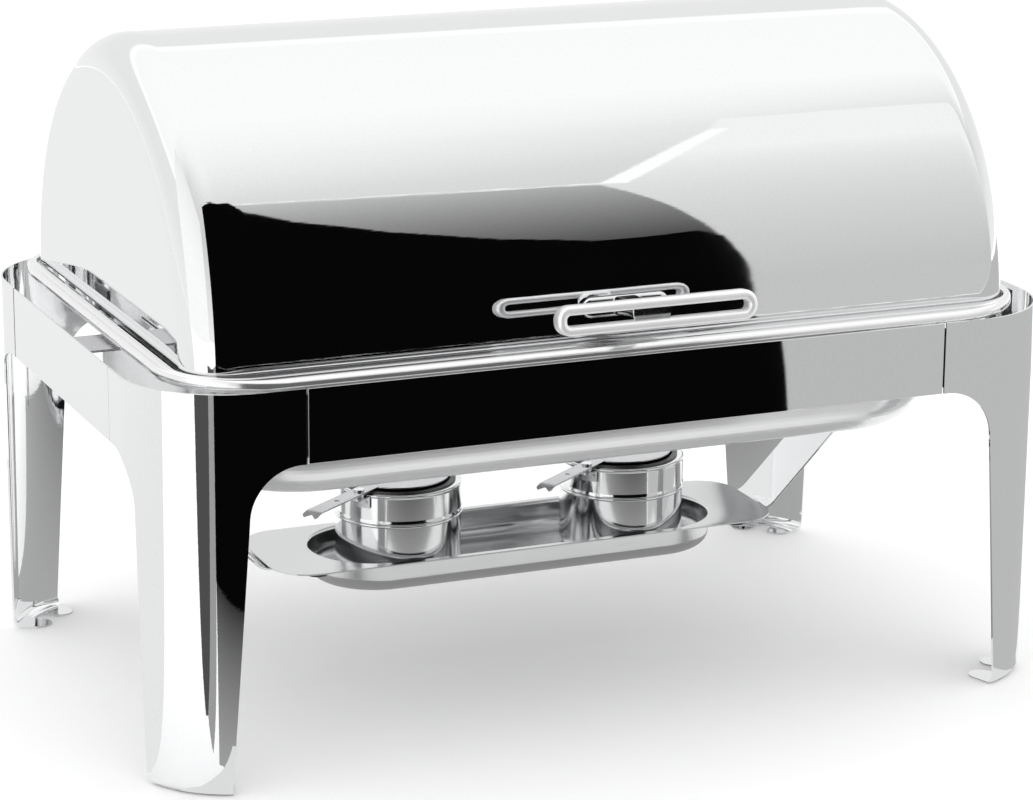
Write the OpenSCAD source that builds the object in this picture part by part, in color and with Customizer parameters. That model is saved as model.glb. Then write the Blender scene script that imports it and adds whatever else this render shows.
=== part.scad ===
// Roll-top chafing dish: a sheet-steel stand with a water pan, a food pan, a
// half-cylinder lid that rolls back on end pivots, and two fuel burners on a
// hanging tray. Millimetres, +Z up, the guest's side at -Y, table at Z = 0.

/* [Stand] */
// Outside length of the stand along X
stand_l = 640; // [630:1:650]
// Outside width of the stand along Y
stand_w = 412; // [410:1:416]
// Height of the stand's top edge above the table
stand_h = 260; // [258:1:264]
// Height of the rails between the legs
rail_h = 48; // [44:1:52]
// Outside radius of the stand's corners
corner_r = 70; // [66:1:74]
// Sheet thickness of legs and rails
sheet_t = 1.5; // [1.2:0.1:2]
// Distance of the front and rear seams from the middle
seam_x = 222; // [216:1:228]
// Distance of the side seams from the middle
seam_y = 112; // [108:1:116]
// Open gap of each seam
seam_gap = 1.2; // [0.8:0.1:1.6]

/* [Legs] */
// Front-wing edge of a leg, from the middle, below the arch
leg_edge_x_top = 259.5; // [256:0.5:264]
// Front-wing edge of a leg at the table
leg_edge_x_foot = 272; // [268:0.5:275]
// Side-wing edge of a leg, from the middle, below the arch
leg_edge_y_top = 155; // [152:0.5:158]
// Side-wing edge of a leg at the table
leg_edge_y_foot = 161; // [158:0.5:164]
// Radius where a rail's lower edge turns into a leg
arch_r = 34; // [28:1:40]
// Outside radius of the bend into the foot
foot_bend_r = 7; // [5:0.5:9]
// How far a foot lobe reaches inward from the leg's outside
lobe_reach = 26; // [24:1:28]
// Half width of a foot lobe
lobe_r = 8.5; // [7:0.5:9]

/* [Water pan] */
// Width of the rolled top ring along its front and rear
ring_band = 20; // [18:0.5:20]
// Width of the rolled top ring at its ends
ring_end_band = 10.5; // [9.5:0.5:11]
// Half length of the top ring
ring_half_l = 301; // [300.5:0.5:303]
// Half width of the top ring
ring_half_w = 205; // [204.5:0.5:206]
// Outside corner radius of the top ring
ring_corner_r = 68; // [62:1:70]
// Inside corner radius of the top ring
ring_inner_r = 31; // [28:1:32]
// Length of the water pan's well
well_l = 526; // [524:1:528]
// Width of the water pan's well
well_w = 324; // [320:1:326]
// Plan corner radius of the well
well_corner_r = 75; // [60:1:80]
// Radius round the well's bottom edge
well_edge_r = 30; // [20:1:34]
// Height of the well's underside above the table
well_bottom = 172; // [171:1:176]

/* [Lid] */
// Outside radius of the lid
lid_r = 183; // [182:0.5:184]
// Half length of the lid
lid_half_l = 288; // [287:0.5:289]
// Radius of the blend between the barrel and the end walls
lid_blend_r = 28; // [24:1:32]
// Height of the pivot axis and of the closed lid's edge
axis_z = 265; // [264:0.5:266]
// Lid sheet thickness
lid_t = 1.2; // [1:0.1:1.4]
// Radius of the lid pivot pin
pin_r = 4; // [3.5:0.5:4.5]

/* [Handle] */
// Length of the handle loop
handle_l = 137; // [130:1:144]
// Height of the handle loop
handle_h = 19; // [18:0.5:21]
// Thickness of the loop's bars
handle_bar = 6; // [5:0.5:6.5]
// Depth of the loop's bars, front to back
handle_depth = 12; // [10:0.5:14]
// Distance of the loop's front face from the middle of the stand
handle_front = 238; // [234:1:244]
// Rise of the handle's line from the lid's axis, in degrees
handle_angle = 7; // [6.5:0.1:7.5]

/* [Food pan] */
// Rim length of the food pan
food_l = 530; // [528:1:530]
// Rim width of the food pan
food_w = 325; // [323:1:325]
// Depth of the food pan
food_depth = 65; // [40:1:66]

/* [Fuel tray] */
// Length of the fuel tray with its end wings
tray_l = 372; // [364:1:374]
// Width of the fuel tray
tray_w = 105; // [102:1:106]
// Height of the fuel tray's top face
tray_top = 87; // [86:0.5:88]
// Length of the tray's recess
recess_l = 296; // [290:1:302]
// Width of the tray's recess
recess_w = 94; // [93:0.5:95]
// Depth of the tray's recess, outside
recess_depth = 22; // [18:1:24]
// Width of each hanger strap
hanger_w = 46; // [40:1:46]

/* [Burners] */
// Distance of each burner from the middle
burner_x = 84; // [80:1:86]
// Outside radius of a burner
burner_r = 44.2; // [42:0.2:44.6]
// Height of a burner's flat top above its foot
burner_h = 65; // [60:1:66]
// Radius of the fuel cup's mouth
cup_r = 37; // [30:1:38]
// Direction of the snuffer levers, from +X
lever_dir = 216.5; // [200:0.5:230]
// Reach of a snuffer lever beyond its pivot
lever_reach = 61; // [50:1:64]

/* [Hidden] */
$fn = 96;

mirror_steel = "gainsboro";
satin_steel = "darkgray";
dull_steel = "dimgray";
silicone = "black";

far = 400;                              // beyond any edge of the stand
rail_bottom = stand_h - rail_h;
// The whole model is moved back so that its box is centred on the origin
shift_y = (handle_front - stand_w / 2) / 2;

ring_h = 7;                             // height of the top ring's section
ring_t = 1.2;
flange_w = 3;                           // flat strip between a foot's lobes
lobe_turn = 9.5;                        // a lobe's middle, from the sheet's edge, degrees
deck_t = 1.5;
deck_top = stand_h;
deck_x_front = 298;                     // deck reaches under the ring in front
deck_y_front = 200;
deck_x_rear = 276;                      // and stops short of the lid behind
deck_y_rear = 176;
deck_split_y = -14;
deck_corner_r = 60;
opening_l = 512;
opening_w = 306;
opening_r = 48;
pan_t = 1.2;

food_lip_t = 1;
food_body_l = 506;
food_body_w = 301;
food_corner_r = 45;
food_edge_r = 18;
food_lip_z = deck_top + 0.1;

seam_plate_w = 30;
seam_plate_h = 40;
seam_plate_t = 1.2;
nut_r = 4.6;
nut_h = 3.2;
nut_spread = 8;

bracket_x = 278;                        // inner face of the pivot upright
bracket_t = 2;
bracket_y = [-62, -18];
bracket_foot_x = 268;
bracket_foot_end = 289.5;
pivot_clearance = 0.05;
ear_r = 10;
lid_ear_r = 9;
lid_plate_r = 36;
lid_plate_t = 3;
pin_head_r = 7;
pin_head_t = 1.8;
washer_r = 8;

support_y = [-64, -25];
support_t = 1.5;
support_drop = 32;

hanger_t = 1.5;
hanger_top = stand_h - 4;
hanger_knee_z = rail_bottom + 2;
hanger_bend_x = 190;
hanger_tab_x = 158;
tray_gap = 0.1;
tray_t = 1;
tray_corner_r = 28;
recess_edge_r = 9;
button_x = 156;
button_y = 36;
button_r = 7;
button_h = 4.5;

stop_x = 200;
stop_r = 2.2;                           // slim enough to stand inside the ring

lid_end_x = lid_half_l - lid_t;         // inner face of an end wall
handle_reach = (handle_front - handle_h / 2 * sin(handle_angle)) / cos(handle_angle);
base_l = 60;
base_h = 13;
base_t = 5.2;                           // over the lid, at the middle
base_reach = lid_r + base_t;
stem_w = 22;
stem_h = 12;
stem_plate_t = 2;
stem_plate_w = 26;
screw_x = 18;
screw_r = 2;
screw_head_r = 4;
screw_head_t = 2;
screw_depth = 4;                        // into the base from the lid's outside

burner_z = tray_top - recess_depth + tray_t + tray_gap;
burner_top = burner_z + burner_h;
wall_t = 1;
can_floor_t = 1;
tier_h = 44;
can_edge_r = 8;
bead_r = 1.3;
cup_lip = 2.5;
cup_floor = 6;
snuffer_gap = 1.2;
snuffer_t = 1;
snuffer_r = 35;
pivot_reach = 49;                       // snuffer pivot from the burner's axis
tab_t = 1;
tab_r = 4.7;                            // keeps the tab's eye off the burner's wall
clip_gap = 0.05;
tab_z = burner_top - 1;
lever_w = 12;
lever_hole_at = 27;
lever_hole_r = 1.8;
rivet_r = 2;
rivet_head_r = 3.6;
rivet_head_t = 1.2;

// Moves a piece from the stand's middle to the shared origin
module placed() {
    translate([0, shift_y, 0]) children();
}

// Rectangle with round corners, centred
module round_rect(l, w, r) {
    square([l - 2 * r, w], center = true);
    square([l, w - 2 * r], center = true);
    for (sx = [-1, 1], sy = [-1, 1])
        translate([sx * (l / 2 - r), sy * (w / 2 - r)])
            circle(r);
}

// Band of even width inside a rounded rectangle
module round_band(l, w, r, band_x, band_y, inner_r) {
    difference() {
        round_rect(l, w, r);
        round_rect(l - 2 * band_x, w - 2 * band_y, inner_r);
    }
}

// Solid tub standing on z = 0: round plan corners and a round bottom edge
module tub(l, w, h, corner, edge) {
    translate([0, 0, edge])
        linear_extrude(h - edge)
            round_rect(l, w, corner);
    linear_extrude(edge)
        round_rect(l - 2 * edge, w - 2 * edge, corner - edge);
    for (s = [-1, 1]) {
        translate([0, s * (w / 2 - edge), edge])
            rotate([0, 90, 0])
                cylinder(r = edge, h = l - 2 * corner, center = true);
        translate([s * (l / 2 - edge), 0, edge])
            rotate([90, 0, 0])
                cylinder(r = edge, h = w - 2 * corner, center = true);
    }
    for (sx = [-1, 1], sy = [-1, 1])
        translate([sx * (l / 2 - corner), sy * (w / 2 - corner), 0])
            rotate_extrude()
                tub_corner_profile(corner, edge);
}

module tub_corner_profile(corner, edge) {
    intersection() {
        union() {
            square([corner - edge, 2 * edge]);
            translate([corner - edge, edge]) circle(edge);
        }
        square([corner, 2 * edge]);
    }
}

// The stand's sheet wall, all the way round
module stand_wall() {
    linear_extrude(stand_h)
        round_band(stand_l, stand_w, corner_r, sheet_t, sheet_t, corner_r - sheet_t);
}

// Side view of one leg with its piece of rail: u is measured outward
module leg_outline(seam, edge_top, edge_foot) {
    edge = seam + seam_gap / 2;
    arch_z = rail_bottom - arch_r;
    translate([edge, rail_bottom]) square([far - edge, rail_h]);
    polygon([[edge_top, arch_z], [far, arch_z], [far, foot_bend_r],
             [edge_foot, foot_bend_r]]);
    difference() {
        translate([edge_top - arch_r, arch_z]) square([far - edge_top + arch_r, arch_r]);
        translate([edge_top - arch_r, arch_z]) circle(arch_r);
    }
}

// Foot bend along the corner arc, and two round-ended lobes on the table
module foot() {
    centre = [stand_l / 2 - corner_r, stand_w / 2 - corner_r];
    bend_at = corner_r - foot_bend_r;
    start = asin((leg_edge_y_foot - centre[1]) / corner_r);
    end = 90 - asin((leg_edge_x_foot - centre[0]) / corner_r);
    intersection() {
        translate(centre)
            rotate_extrude()
                foot_bend_profile(bend_at);
        linear_extrude(foot_bend_r)
            foot_corner();
    }
    translate(centre)
        linear_extrude(sheet_t) {
            intersection() {
                circle(bend_at);
                union() {
                    rotate(start + lobe_turn) lobe();
                    rotate(end - lobe_turn) lobe();
                }
            }
            intersection() {
                difference() {
                    circle(bend_at);
                    circle(bend_at - flange_w);
                }
                translate(-centre) foot_corner();
            }
        }
}

// Round-ended tongue that points at the corner's centre
module lobe() {
    tip = corner_r - lobe_reach + lobe_r;
    translate([tip, 0]) circle(lobe_r);
    translate([tip, -lobe_r]) square([lobe_reach, 2 * lobe_r]);
}

// Quarter of a bent sheet, from the flat flange at bend_at out to the wall
module foot_bend_profile(bend_at) {
    translate([bend_at, foot_bend_r])
        intersection() {
            difference() {
                circle(foot_bend_r);
                circle(foot_bend_r - sheet_t);
            }
            translate([0, -foot_bend_r]) square(foot_bend_r);
        }
}

// The part of the plan that belongs to the leg's foot
module foot_corner() {
    translate([leg_edge_x_foot, leg_edge_y_foot]) square(far);
}

// One leg in the +X +Y corner
module leg() {
    intersection() {
        stand_wall();
        rotate([90, 0, 0])
            linear_extrude(2 * far, center = true)
                leg_outline(seam_x, leg_edge_x_top, leg_edge_x_foot);
        rotate([90, 0, 90])
            linear_extrude(2 * far, center = true)
                leg_outline(seam_y, leg_edge_y_top, leg_edge_y_foot);
    }
    foot();
}

// Leg copied to a corner: sx and sy are 1 or -1
module leg_at(sx, sy) {
    color(mirror_steel)
        placed()
            mirror([sx < 0 ? 1 : 0, 0, 0])
                mirror([0, sy < 0 ? 1 : 0, 0])
                    leg();
}

module leg_front_left() { leg_at(-1, -1); }
module leg_front_right() { leg_at(1, -1); }
module leg_rear_left() { leg_at(-1, 1); }
module leg_rear_right() { leg_at(1, 1); }

// Straight rail along X at the side sy
module long_rail(sy) {
    color(mirror_steel)
        placed()
            translate([0, sy * (stand_w - sheet_t) / 2, rail_bottom + rail_h / 2])
                cube([2 * seam_x - seam_gap, sheet_t, rail_h], center = true);
}

// Straight rail along Y at the side sx
module end_rail(sx) {
    color(mirror_steel)
        placed()
            translate([sx * (stand_l - sheet_t) / 2, 0, rail_bottom + rail_h / 2])
                cube([sheet_t, 2 * seam_y - seam_gap, rail_h], center = true);
}

module front_rail() { long_rail(-1); }
module rear_rail() { long_rail(1); }
module left_rail() { end_rail(-1); }
module right_rail() { end_rail(1); }

// Places a piece behind each seam; x points along the wall, z into the stand
module at_seams() {
    z = rail_bottom + rail_h / 2;
    for (sx = [-1, 1], sy = [-1, 1]) {
        translate([sx * seam_x, sy * (stand_w / 2 - sheet_t), z])
            rotate([sy * 90, 0, 0])
                children();
        translate([sx * (stand_l / 2 - sheet_t), sy * seam_y, z])
            rotate([90, 0, sx * -90])
                children();
    }
}

module seam_plates() {
    color(satin_steel)
        placed()
            at_seams()
                translate([0, 0, seam_plate_t / 2])
                    cube([seam_plate_w, seam_plate_h, seam_plate_t], center = true);
}

module seam_nuts() {
    color(dull_steel)
        placed()
            at_seams()
                for (s = [-1, 1])
                    translate([s * nut_spread, 0, seam_plate_t])
                        cylinder(r = nut_r, h = nut_h, $fn = 6);
}

// Channel of sheet, open below, that stands on the rails
module top_ring() {
    inset = ring_t;
    color(mirror_steel)
        placed()
            translate([0, 0, stand_h])
                difference() {
                    linear_extrude(ring_h)
                        round_band(2 * ring_half_l, 2 * ring_half_w, ring_corner_r,
                                   ring_end_band, ring_band, ring_inner_r);
                    translate([0, 0, -1])
                        linear_extrude(ring_h + 1 - ring_t)
                            round_band(2 * (ring_half_l - inset), 2 * (ring_half_w - inset),
                                       ring_corner_r - inset, ring_end_band - 2 * inset,
                                       ring_band - 2 * inset, ring_inner_r + inset);
                }
}

// Shelf round the food pan: wide in front, narrow behind so the lid can pass
module pan_deck() {
    front_w = deck_y_front + deck_split_y;
    color(satin_steel)
        placed()
            translate([0, 0, deck_top - deck_t])
                linear_extrude(deck_t)
                    difference() {
                        union() {
                            intersection() {
                                round_rect(2 * deck_x_front, 2 * deck_y_front, deck_corner_r);
                                translate([-far, -deck_y_front]) square([2 * far, front_w]);
                            }
                            intersection() {
                                round_rect(2 * deck_x_rear, 2 * deck_y_rear, deck_corner_r);
                                translate([-far, deck_split_y - 1])
                                    square([2 * far, deck_y_rear - deck_split_y + 1]);
                            }
                        }
                        round_rect(opening_l, opening_w, opening_r);
                    }
}

module water_pan() {
    well_h = deck_top - deck_t - well_bottom;
    color(satin_steel)
        placed()
            translate([0, 0, well_bottom])
                difference() {
                    tub(well_l, well_w, well_h, well_corner_r, well_edge_r);
                    translate([0, 0, pan_t])
                        tub(well_l - 2 * pan_t, well_w - 2 * pan_t, well_h + 1,
                            well_corner_r - pan_t, well_edge_r - pan_t);
                }
}

// Angle that carries the deck's front half from an end rail
module support_bracket(sx) {
    wall = stand_l / 2 - sheet_t;
    length = support_y[1] - support_y[0];
    shelf_z = deck_top - deck_t - support_t;
    color(satin_steel)
        placed()
            mirror([sx < 0 ? 1 : 0, 0, 0]) {
                translate([wall - support_t, support_y[0], shelf_z - support_drop])
                    cube([support_t, length, support_drop + support_t]);
                translate([well_l / 2 + 4, support_y[0], shelf_z])
                    cube([wall - well_l / 2 - 4, length, support_t]);
            }
}

module support_bracket_left() { support_bracket(-1); }
module support_bracket_right() { support_bracket(1); }

// Flat strip of thickness t from a to b, with round ends
module strip(a, b, t) {
    along = b - a;
    translate(a) circle(t / 2);
    translate(b) circle(t / 2);
    translate(a)
        rotate(atan2(along[1], along[0]))
            translate([0, -t / 2])
                square([norm(along), t]);
}

// Bent strap from an end rail down to the tab under the tray's wing
module hanger(sx) {
    wall = stand_l / 2 - sheet_t - hanger_t / 2;
    tab_mid = tray_top - tray_t - tray_gap - hanger_t / 2;
    color(mirror_steel)
        placed()
            mirror([sx < 0 ? 1 : 0, 0, 0])
                rotate([90, 0, 0])
                    linear_extrude(hanger_w, center = true) {
                        strip([wall, hanger_top], [wall, hanger_knee_z], hanger_t);
                        strip([wall, hanger_knee_z], [hanger_bend_x, tab_mid], hanger_t);
                        strip([hanger_bend_x, tab_mid], [hanger_tab_x, tab_mid], hanger_t);
                    }
}

module hanger_left() { hanger(-1); }
module hanger_right() { hanger(1); }

// Turns the x axis of a drawing into the lid's pivot axis, at height axis_z
module on_axis() {
    translate([0, 0, axis_z])
        rotate([90, 0, 90])
            children();
}

module pivot_bracket(sx) {
    foot_l = bracket_y[1] - bracket_y[0];
    color(satin_steel)
        placed()
            mirror([sx < 0 ? 1 : 0, 0, 0]) {
                translate([bracket_foot_x, bracket_y[0], deck_top])
                    cube([bracket_foot_end - bracket_foot_x, foot_l, bracket_t]);
                translate([bracket_x, 0, 0])
                    on_axis()
                        linear_extrude(bracket_t)
                            difference() {
                                union() {
                                    translate([bracket_y[0], deck_top - axis_z])
                                        square([-bracket_y[0], axis_z - deck_top + ear_r]);
                                    circle(ear_r);
                                }
                                circle(pin_r + pivot_clearance);
                            }
            }
}

module pivot_bracket_left() { pivot_bracket(-1); }
module pivot_bracket_right() { pivot_bracket(1); }

module pivot_pin(sx) {
    color(dull_steel)
        placed()
            mirror([sx < 0 ? 1 : 0, 0, 0])
                translate([bracket_x - pin_head_t, 0, 0])
                    on_axis() {
                        cylinder(r = pin_head_r, h = pin_head_t);
                        cylinder(r = pin_r, h = lid_end_x - 0.2 - bracket_x + pin_head_t);
                    }
}

module pivot_pin_left() { pivot_pin(-1); }
module pivot_pin_right() { pivot_pin(1); }

// Spacer washers between the uprights and the lid's ears
module pivot_washers() {
    inner = bracket_x + bracket_t;
    space = lid_end_x - lid_plate_t - inner;
    color(dull_steel)
        placed()
            for (side = [0, 1])
                mirror([side, 0, 0])
                    translate([inner, 0, 0])
                        on_axis()
                            difference() {
                                cylinder(r = washer_r, h = space - 0.3);
                                translate([0, 0, -1])
                                    cylinder(r = pin_r + pivot_clearance, h = space + 2);
                            }
}

// Soft buttons under the closed lid's front edge
module lid_stops() {
    color(silicone)
        placed()
            for (s = [-1, 1])
                translate([s * stop_x, -(lid_r - lid_t / 2), deck_top])
                    cylinder(r = stop_r, h = axis_z - deck_top - 0.3);
}

// Half profile of the lid, radius along x and length along y
module lid_profile(r, half_l, blend) {
    translate([0, -half_l]) square([r - blend, 2 * half_l]);
    translate([0, -half_l + blend]) square([r, 2 * (half_l - blend)]);
    for (s = [-1, 1])
        translate([r - blend, s * (half_l - blend)])
            circle(blend);
}

// Radial line through the handle's middle; local -Y points out of the lid
module on_handle_line() {
    translate([0, 0, axis_z])
        rotate([-handle_angle, 0, 0])
            children();
}

module screw_shanks(r) {
    on_handle_line()
        for (s = [-1, 1])
            translate([s * screw_x, -(lid_r + screw_depth), 0])
                rotate([-90, 0, 0])
                    cylinder(r = r, h = screw_depth + lid_t + 0.5);
}

module lid_shell() {
    color(mirror_steel)
        placed()
            difference() {
                translate([0, 0, axis_z])
                    rotate([0, 90, 0])
                        rotate([0, 0, 90])
                            rotate_extrude(angle = 180)
                                difference() {
                                    lid_profile(lid_r, lid_half_l, lid_blend_r);
                                    lid_profile(lid_r - lid_t, lid_end_x, lid_blend_r - lid_t);
                                }
                screw_shanks(screw_r + pivot_clearance);
            }
}

// Doubler inside an end wall, with the ear that turns on the pin
module lid_pivot_plate(sx) {
    color(satin_steel)
        placed()
            mirror([sx < 0 ? 1 : 0, 0, 0])
                translate([lid_end_x - lid_plate_t, 0, 0])
                    on_axis()
                        linear_extrude(lid_plate_t)
                            difference() {
                                union() {
                                    intersection() {
                                        circle(lid_plate_r);
                                        translate([-lid_plate_r, 0])
                                            square([2 * lid_plate_r, lid_plate_r]);
                                    }
                                    circle(lid_ear_r);
                                }
                                circle(pin_r + pivot_clearance);
                            }
}

module lid_pivot_plate_left() { lid_pivot_plate(-1); }
module lid_pivot_plate_right() { lid_pivot_plate(1); }

// Outline across the handle's line, extruded towards the lid from a reach
module facing_out(reach, depth) {
    on_handle_line()
        translate([0, -reach, 0])
            rotate([90, 0, 0])
                translate([0, 0, -depth])
                    linear_extrude(depth)
                        children();
}

module handle_loop() {
    color(mirror_steel)
        placed()
            facing_out(handle_reach, handle_depth)
                difference() {
                    round_rect(handle_l, handle_h, handle_h / 2 - 0.5);
                    round_rect(handle_l - 2 * handle_bar, handle_h - 2 * handle_bar,
                               handle_h / 2 - handle_bar - 0.5);
                }
}

module handle_stem() {
    back = handle_reach - handle_depth;
    color(mirror_steel)
        placed() {
            facing_out(back, stem_plate_t)
                square([stem_plate_w, handle_h - 2], center = true);
            facing_out(back, back - base_reach)
                square([stem_w, stem_h], center = true);
        }
}

module handle_base() {
    color(mirror_steel)
        placed()
            difference() {
                facing_out(base_reach, 12)
                    round_rect(base_l, base_h, base_h / 2 - 0.5);
                translate([0, 0, axis_z])
                    rotate([0, 90, 0])
                        cylinder(r = lid_r, h = 2 * base_l, center = true, $fn = 720);
                screw_shanks(screw_r);
            }
}

module handle_screws() {
    color(dull_steel)
        placed() {
            screw_shanks(screw_r);
            on_handle_line()
                for (s = [-1, 1])
                    translate([s * screw_x, -(lid_r - lid_t), 0])
                        rotate([-90, 0, 0])
                            cylinder(r = screw_head_r, h = screw_head_t);
        }
}

module food_pan() {
    color(satin_steel)
        placed()
            translate([0, 0, food_lip_z + food_lip_t - food_depth])
                difference() {
                    union() {
                        tub(food_body_l, food_body_w, food_depth, food_corner_r, food_edge_r);
                        translate([0, 0, food_depth - food_lip_t])
                            linear_extrude(food_lip_t)
                                round_rect(food_l, food_w, food_corner_r);
                    }
                    translate([0, 0, pan_t])
                        tub(food_body_l - 2 * pan_t, food_body_w - 2 * pan_t, food_depth + 1,
                            food_corner_r - pan_t, food_edge_r - pan_t);
                }
}

// Half section of a round-bottomed trough: radius along x, height along y
module trough_profile(r, h, edge) {
    square([r - edge, h]);
    translate([0, edge]) square([r, h - edge]);
    translate([r - edge, edge]) circle(edge);
}

// Solid trough along X with half-round ends, standing on z = 0
module trough(l, w, h, edge) {
    r = w / 2;
    for (s = [-1, 1])
        translate([s * (l / 2 - r), 0, 0])
            rotate_extrude()
                trough_profile(r, h, edge);
    rotate([90, 0, 90])
        linear_extrude(l - 2 * r, center = true)
            for (side = [0, 1])
                mirror([side, 0])
                    trough_profile(r, h, edge);
}

module fuel_tray() {
    color(satin_steel)
        placed()
            translate([0, 0, tray_top - recess_depth])
                difference() {
                    union() {
                        trough(recess_l, recess_w, recess_depth, recess_edge_r);
                        translate([0, 0, recess_depth - tray_t])
                            linear_extrude(tray_t)
                                round_rect(tray_l, tray_w, tray_corner_r);
                    }
                    translate([0, 0, tray_t])
                        trough(recess_l - 2 * tray_t, recess_w - 2 * tray_t, recess_depth,
                               recess_edge_r - tray_t);
                }
}

// Soft buttons under the wings, either side of the hangers' tabs
module tray_buttons() {
    color(silicone)
        placed()
            for (sx = [-1, 1], sy = [-1, 1])
                translate([sx * button_x, sy * button_y, tray_top - tray_t - button_h])
                    cylinder(r = button_r, h = button_h);
}

// Moves a piece to the burner at the side sx, standing on the tray
module at_burner(sx) {
    placed()
        translate([sx * burner_x, 0, burner_z])
            children();
}

module burner_can(sx) {
    can_r = burner_r - wall_t;
    color(mirror_steel)
        at_burner(sx) {
            rotate_extrude()
                difference() {
                    trough_profile(can_r, burner_h - wall_t, can_edge_r);
                    translate([0, can_floor_t])
                        trough_profile(can_r - wall_t, burner_h, can_edge_r - wall_t);
                }
            rotate_extrude()
                translate([can_r - 0.2, tier_h - bead_r])
                    circle(bead_r);
        }
}

module burner_collar(sx) {
    color(mirror_steel)
        at_burner(sx)
            difference() {
                translate([0, 0, tier_h])
                    cylinder(r = burner_r, h = burner_h - tier_h);
                translate([0, 0, tier_h - 1])
                    cylinder(r = burner_r - wall_t, h = burner_h - wall_t - tier_h + 1);
                cylinder(r = cup_r, h = burner_h + 1);
            }
}

module burner_cup(sx) {
    color(satin_steel)
        at_burner(sx)
            difference() {
                union() {
                    translate([0, 0, cup_floor])
                        cylinder(r = cup_r - 0.1, h = burner_h - cup_floor);
                    translate([0, 0, burner_h])
                        cylinder(r = cup_r + cup_lip, h = wall_t);
                }
                translate([0, 0, cup_floor + wall_t])
                    cylinder(r = cup_r - 0.1 - wall_t, h = burner_h);
            }
}

// Turns +X to the lever's direction, at the snuffer pivot
module at_snuffer_pivot() {
    rotate([0, 0, lever_dir])
        translate([pivot_reach, 0, 0])
            children();
}

// Clip on the burner's side with the tab that carries the snuffer pivot
module burner_bracket(sx) {
    clip_h = 8.5;
    half_angle = 7.5;
    color(satin_steel)
        at_burner(sx) {
            rotate([0, 0, lever_dir - half_angle])
                rotate_extrude(angle = 2 * half_angle)
                    translate([burner_r + clip_gap, burner_h - 1 - clip_h])
                        square([tab_t, clip_h]);
            difference() {
                union() {
                    at_snuffer_pivot()
                        translate([0, 0, burner_h - 1 - tab_t])
                            cylinder(r = tab_r, h = tab_t);
                    rotate([0, 0, lever_dir])
                        translate([burner_r + 0.4, -5, burner_h - 1 - tab_t])
                            cube([pivot_reach - burner_r, 10, tab_t]);
                }
                at_snuffer_pivot()
                    translate([0, 0, burner_h - 3])
                        cylinder(r = rivet_r + pivot_clearance, h = 3);
            }
        }
}

// Shouldered rivet: head, shoulder on the tab, shank, head
module burner_rivet(sx) {
    low = burner_h - 1 - tab_t - rivet_head_t;
    plate_z = burner_h + wall_t + snuffer_gap;
    color(dull_steel)
        at_burner(sx)
            at_snuffer_pivot() {
                translate([0, 0, low])
                    cylinder(r = rivet_head_r, h = rivet_head_t);
                translate([0, 0, low])
                    cylinder(r = rivet_r, h = plate_z + snuffer_t + 0.4 - low);
                translate([0, 0, burner_h - 1])
                    cylinder(r = rivet_head_r, h = plate_z - 0.1 - burner_h + 1);
                translate([0, 0, plate_z + snuffer_t + 0.1])
                    cylinder(r = rivet_head_r, h = rivet_head_t);
            }
}

// Disc over the fuel cup in one piece with its lever
module burner_snuffer(sx) {
    plate_z = burner_h + wall_t + snuffer_gap;
    color(mirror_steel)
        at_burner(sx)
            translate([0, 0, plate_z])
                linear_extrude(snuffer_t)
                    difference() {
                        union() {
                            circle(snuffer_r);
                            rotate(lever_dir)
                                translate([0, -lever_w / 2])
                                    square([pivot_reach + lever_reach, lever_w]);
                        }
                        rotate(lever_dir)
                            translate([pivot_reach, 0])
                                circle(rivet_r + pivot_clearance);
                        rotate(lever_dir)
                            translate([pivot_reach + lever_hole_at, 0])
                                circle(lever_hole_r);
                        rotate(lever_dir)
                            translate([pivot_reach + lever_reach + 3, 0])
                                circle(lever_w / 2, $fn = 4);
                    }
}

module burner_left_can() { burner_can(-1); }
module burner_left_collar() { burner_collar(-1); }
module burner_left_cup() { burner_cup(-1); }
module burner_left_bracket() { burner_bracket(-1); }
module burner_left_rivet() { burner_rivet(-1); }
module burner_left_snuffer() { burner_snuffer(-1); }
module burner_right_can() { burner_can(1); }
module burner_right_collar() { burner_collar(1); }
module burner_right_cup() { burner_cup(1); }
module burner_right_bracket() { burner_bracket(1); }
module burner_right_rivet() { burner_rivet(1); }
module burner_right_snuffer() { burner_snuffer(1); }

leg_front_left();
leg_front_right();
leg_rear_left();
leg_rear_right();
front_rail();
rear_rail();
left_rail();
right_rail();
seam_plates();
seam_nuts();
top_ring();
pan_deck();
water_pan();
support_bracket_left();
support_bracket_right();
hanger_left();
hanger_right();
pivot_bracket_left();
pivot_bracket_right();
pivot_pin_left();
pivot_pin_right();
pivot_washers();
lid_stops();
lid_shell();
lid_pivot_plate_left();
lid_pivot_plate_right();
handle_loop();
handle_stem();
handle_base();
handle_screws();
food_pan();
fuel_tray();
tray_buttons();
burner_left_can();
burner_left_collar();
burner_left_cup();
burner_left_bracket();
burner_left_rivet();
burner_left_snuffer();
burner_right_can();
burner_right_collar();
burner_right_cup();
burner_right_bracket();
burner_right_rivet();
burner_right_snuffer();
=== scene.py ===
"""Roll-top chafing dish: the looks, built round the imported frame, in metres."""
import math

import bmesh
import bpy
from mathutils import Matrix, Vector


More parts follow.
